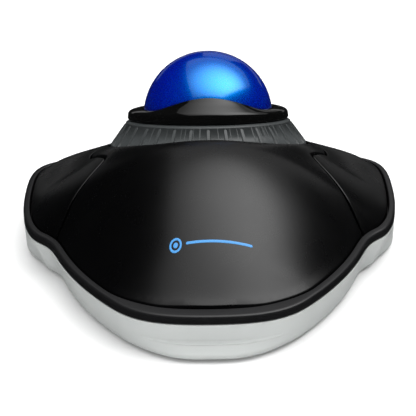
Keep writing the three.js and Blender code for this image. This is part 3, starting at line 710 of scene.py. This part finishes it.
def screw_head(node):
    """A pan head seen from below, with a cross recess."""
    x, y = middle_of(node)[:2]
    low = box_mm(node)[0][2]
    quarters = np.arange(4)[:, None] * math.pi / 2
    arm_corners = (quarters + [0.31, -0.31, 0.32, -0.32]).ravel() % (2 * math.pi)
    angles = np.unique(np.concatenate([np.linspace(0, 2 * math.pi, 96, endpoint=False), arm_corners]))
    recess = np.array([cross(angle) for angle in angles])
    rings = [
        (recess * 0.55, RECESS_DEPTH), (recess, 0.1), (recess + 0.08, 0), (HEAD_RADIUS - 0.6, 0),
        (HEAD_RADIUS - 0.15, 0.18), (HEAD_RADIUS, 0.6), (HEAD_RADIUS, HEAD_HEIGHT),
        (SHANK_RADIUS, HEAD_HEIGHT), (SHANK_RADIUS, SHANK_TOP),
    ]
    return turned(node + "_head", rings, (RECESS_DEPTH, SHANK_TOP), angles, [x, y, low], 30)


for node in UNDER_SCREWS:
    place(screw_head(node), "housing", STEEL, node)

gland_low, gland_high = box_mm("cable_gland")
GLAND_FLANGE = 0.6
gland_radius = (gland_high - gland_low)[2] / 2 - GLAND_FLANGE
gland_length = (gland_high - gland_low)[1]
gland_profile = half_rounded([
    (0, 0.6), (1.7, 0.6), (1.7, gland_length), (2.2, gland_length), (gland_radius, gland_length - 0.5),
    (gland_radius, 1.2), (gland_radius + GLAND_FLANGE, 1.0), (gland_radius + GLAND_FLANGE, 0), (0, 0),
], 0.25)
gland = lathe("cable_gland_grommet", gland_profile, [0, 0, 0], 48)
gland.rotation_euler = (-math.pi / 2, 0, 0)
gland.location = Vector(((gland_low + gland_high) / 2 * [1, 0, 1] + gland_low * [0, 1, 0]) * MM)
place(gland, "housing", FOOT, "cable_gland")


PRINT_LIFT = 0.06
PRINT_DEPTH = 0.12
MARK_X = -9.6
MARK_Y = -45.0


def print_surface(x, y):
    return cover_height(x, y) + PRINT_LIFT


def print_patch(name, loops):
    """A flat print on the palm cover, from plan loops laid on its surface."""
    vertices, faces = shell(loops, print_surface, PRINT_DEPTH, spacing=0.5, edge=0.03, steps=3)
    place(make_object(name, vertices, faces, 60), "housing", PRINT, "palm_cover")


def pill(x0, x1, y, half_height):
    """A plan outline with straight sides and round ends."""
    angle = np.linspace(-math.pi / 2, math.pi / 2, 16)
    right = np.stack([x1 + half_height * np.cos(angle), y + half_height * np.sin(angle)], axis=1)
    left = np.stack([x0 - half_height * np.cos(angle), y - half_height * np.sin(angle)], axis=1)
    return resample(np.vstack([right, left]), 0.2, closed=True)


print_patch("print_dot", [circle(MARK_X, MARK_Y, 0.65, 32)])
print_patch("print_ring", [circle(MARK_X, MARK_Y, 1.75), circle(MARK_X, MARK_Y, 1.2)[::-1]])
print_patch("print_bar", [pill(-6.4, 11.6, MARK_Y, 0.3)])

# ---------------------------------------------------------------- bezel, ring and ball


def lid(angle):
    """How far the bezel's lid has risen at an angle: 1 in front and behind, 0 at the sides."""
    from_front = np.abs((np.abs(angle) % math.pi) - math.pi / 2)
    return np.where(from_front < math.pi / 3, np.cos(1.5 * from_front) ** 2, 0)


def bezel_section(angle):
    """The bezel in section at one angle: a low collar that grows into a tall, thin lid."""
    up = float(lid(angle))
    section = rounded([
        (20.6, -0.7, 0.2), (20.5, 0.8, 0.4), (20.35, 2.3 + 4.4 * up, 0.45),
        (21.1 - 0.2 * up, 2.75 + 4.25 * up, 0.6), (22.9 - 1.0 * up, 2.4 + 2.9 * up, 1.1),
        (24.75, 1.7 + 0.6 * up, 1.0), (25, -0.7, 0.5),
    ], 0.3, 6)
    return tilted(section[:, 0], section[:, 1], angle)


BEZEL_STEPS = 288
bezel_angles = np.linspace(0, 2 * math.pi, BEZEL_STEPS, endpoint=False)
bezel = ring_solid("ball_bezel_gloss", np.array([bezel_section(angle) for angle in bezel_angles]))
place(bezel, "housing", GLOSS, "ball_bezel")

RIBS = 32
RIB_STEPS = 36
RIB_PITCH = 2 * math.pi / RIBS
RIB_HALF_WIDTH = 0.55
RIB_HEIGHT = 0.6
RIB_TOP = -2.6  # heights here are along the ring's axis, from the ball's middle
CONE_TOP = -1.6  # the ribbed face is a cone
CONE_TOP_RADIUS = 24.6
CONE_FLARE = 0.714
CONE_OUTWARD = (0.81, 0.58)


def finely_divided(profile, top, bottom, count):
    """A profile with count points along its side between two heights, so that the ribs have round ends."""
    first = int(np.argmax(profile[:, 1] < top))
    end = int(np.argmax(profile[:, 1] < bottom))
    return np.vstack([profile[:first], np.linspace(profile[first], profile[end - 1], count), profile[end:]])


def grip_section(profile, angle):
    """The grip in section at one angle, cut back to the cone's lower level everywhere between the ribs."""
    radius, height = profile[:, 0], profile[:, 1]
    off = (angle + RIB_PITCH / 2) % RIB_PITCH - RIB_PITCH / 2
    sideways = np.abs(off) * radius / RIB_HALF_WIDTH
    end = np.clip((height - RIB_TOP) / RIB_HALF_WIDTH, 0, 4)
    outer = smooth(radius - CONE_TOP_RADIUS - CONE_FLARE * (CONE_TOP - height), -0.4, 0.2)
    pad = outer * smooth(-height, 1.7, 2.2) * (1 - smooth(-height, 7.9, 8.4))
    cut = RIB_HEIGHT * smooth(np.hypot(sideways, end), 0.8, 1.15) * pad
    return tilted(radius - cut * CONE_OUTWARD[0], height - cut * CONE_OUTWARD[1], angle)


grip_profile = rounded([
    (24.5, -1.0, 0.1), (25.4, -1.5, 0.5), (30.4, -8.4, 0.7), (30.4, -9.6, 0.3), (28, -9.6, 0.2),
    (24.5, -3, 0.2),
], 0.3, 6)
grip_profile = finely_divided(grip_profile, -1.9, -7.7, 36)
grip_angles = np.linspace(0, 2 * math.pi, RIBS * RIB_STEPS, endpoint=False)
grip_sections = [grip_section(grip_profile, angle) for angle in grip_angles]
grip = ring_solid("scroll_ring_grip_rubber", np.array(grip_sections), 50)
place(grip, "scroll_ring", GRIP, "scroll_ring_grip")


def fine_ball(segments=160, rings=96):
    latitudes = np.linspace(0, math.pi, rings + 1)[1:-1]
    longitudes = np.linspace(0, 2 * math.pi, segments, endpoint=False)
    lat, lon = np.meshgrid(latitudes, longitudes, indexing="ij")
    sphere = np.stack([np.sin(lat) * np.cos(lon), np.sin(lat) * np.sin(lon), np.cos(lat)], axis=-1)
    vertices = np.vstack([[[0, 0, 1]], sphere.reshape(-1, 3), [[0, 0, -1]]]) * BALL_RADIUS + BALL_CENTRE
    return make_object("ball_polished", vertices, capped_faces(len(latitudes), segments))


place(fine_ball(), "trackball", BALL, "ball")

# ---------------------------------------------------------------- stage, lights and camera

FLOOR_SIZE = 60000
floor_corners = np.array([[-1, -1, 0], [1, -1, 0], [1, 1, 0], [-1, 1, 0]]) * FLOOR_SIZE / 2
floor = make_object("floor", floor_corners, [[0, 1, 2, 3]])
floor.data.materials.append(
    material("floor_white", (0.86, 0.86, 0.86), 0.75, bump=0.02, grain=400, mottle=0.005))
floor.visible_glossy = False  # as if black flags stood round the object, just out of view


def area_light(name, size_x, size_y, location, target, power):
    """A rectangular lamp, in metres and watts, that faces its target."""
    light = bpy.data.lights.new(name, "AREA")
    light.shape = "RECTANGLE"
    light.size = size_x
    light.size_y = size_y
    light.energy = power
    obj = bpy.data.objects.new(name, light)
    obj.location = location
    obj.rotation_euler = (Vector(target) - Vector(location)).to_track_quat("-Z", "Y").to_euler()
    bpy.context.scene.collection.objects.link(obj)
    return obj


MASK_BLUR = 0.12  # half the width of a mask's soft edge


def hot_spot(light, centre, reach, edge, cuts):
    """Makes a softbox brightest at one place of its panel, and masks its corners along straight lines.

    Positions run from 0 to 1 across the panel. A cut (a, b, limit) is dark where a * x + b * y is over limit.
    """
    light.data.use_nodes = True
    nodes, links = light.data.node_tree.nodes, light.data.node_tree.links
    panel = nodes.new("ShaderNodeNewGeometry").outputs["Parametric"]

    def vector_math(operation, source, x=0, y=0):
        step = nodes.new("ShaderNodeVectorMath")
        step.operation = operation
        step.inputs[1].default_value = (x, y, 0)
        links.new(source, step.inputs[0])
        return step

    def fade(source, start, end, low):
        """From 1 at start to low at end, along an S-curve."""
        step = nodes.new("ShaderNodeMapRange")
        step.interpolation_type = "SMOOTHSTEP"
        step.inputs["From Min"].default_value = start
        step.inputs["From Max"].default_value = end
        step.inputs["To Min"].default_value = 1
        step.inputs["To Max"].default_value = low
        links.new(source, step.inputs["Value"])
        return step.outputs["Result"]

    offset = vector_math("SUBTRACT", panel, *centre).outputs["Vector"]
    scaled = vector_math("MULTIPLY", offset, 1 / reach[0], 1 / reach[1]).outputs["Vector"]
    level = fade(vector_math("LENGTH", scaled).outputs["Value"], 0, 1, edge)
    for x, y, limit in cuts:
        across = vector_math("DOT_PRODUCT", panel, x, y).outputs["Value"]
        masked = nodes.new("ShaderNodeMath")
        masked.operation = "MULTIPLY"
        links.new(level, masked.inputs[0])
        links.new(fade(across, limit - MASK_BLUR, limit + MASK_BLUR, 0), masked.inputs[1])
        level = masked.outputs["Value"]
    links.new(level, nodes["Emission"].inputs["Strength"])


# In the palm cover's gloss the softbox shows bright in the middle and dark towards both flanks.
softbox = area_light("overhead_softbox", 2.48, 2.25, (0.68, 0.475, 1.04), (0.68, 0.475, 0), 70)
hot_spot(softbox, (0.48, 0.25), (0.58, 0.51), 0.1, [(2.21, -1.84, 1.0), (1.68, 1.71, 2.95)])
area_light("back_wall_card", 0.8, 0.8, (0.3, 2.0, 0.7), (0, 0, 0.05), 0.5)
area_light("back_card", 2.0, 0.16, (0.1, 1.6, 0.05), (0, 0, 0.05), 0.25)
fill = area_light("front_fill", 1.0, 0.5, (-0.2, -1.6, 0.55), (0, 0, 0.02), 6)
fill.visible_glossy = False
daylight = bpy.data.lights.new("room_light", "SUN")
daylight.energy = 2.8
daylight.angle = math.radians(120)
room = bpy.data.objects.new("room_light", daylight)
room.rotation_euler = (math.radians(14), math.radians(-4), 0)
room.visible_glossy = False
bpy.context.scene.collection.objects.link(room)

world = bpy.data.worlds.new("studio")
world.use_nodes = True
world.node_tree.nodes["Background"].inputs["Color"].default_value = (0.9, 0.95, 1, 1)
world.node_tree.nodes["Background"].inputs["Strength"].default_value = 0.012
bpy.context.scene.world = world
bpy.context.scene.view_settings.view_transform = "Standard"

CAMERA_ELEVATION = math.radians(26)
CAMERA_ROLL = math.radians(0.8)
CAMERA_DISTANCE = 0.52
CAMERA_TARGET = Vector((-0.0004, -0.0035, 0.018))
camera_data = bpy.data.cameras.new("camera")
camera_data.lens = 148.5
camera_data.sensor_width = 36
camera = bpy.data.objects.new("camera", camera_data)
look = Vector((0, math.cos(CAMERA_ELEVATION), -math.sin(CAMERA_ELEVATION)))
camera.location = CAMERA_TARGET - look * CAMERA_DISTANCE
rotation = look.to_track_quat("-Z", "Y").to_matrix().to_4x4()
camera.rotation_euler = rotation.to_euler()
camera.rotation_euler.rotate_axis("Z", -CAMERA_ROLL)
bpy.context.scene.collection.objects.link(camera)
bpy.context.scene.camera = camera
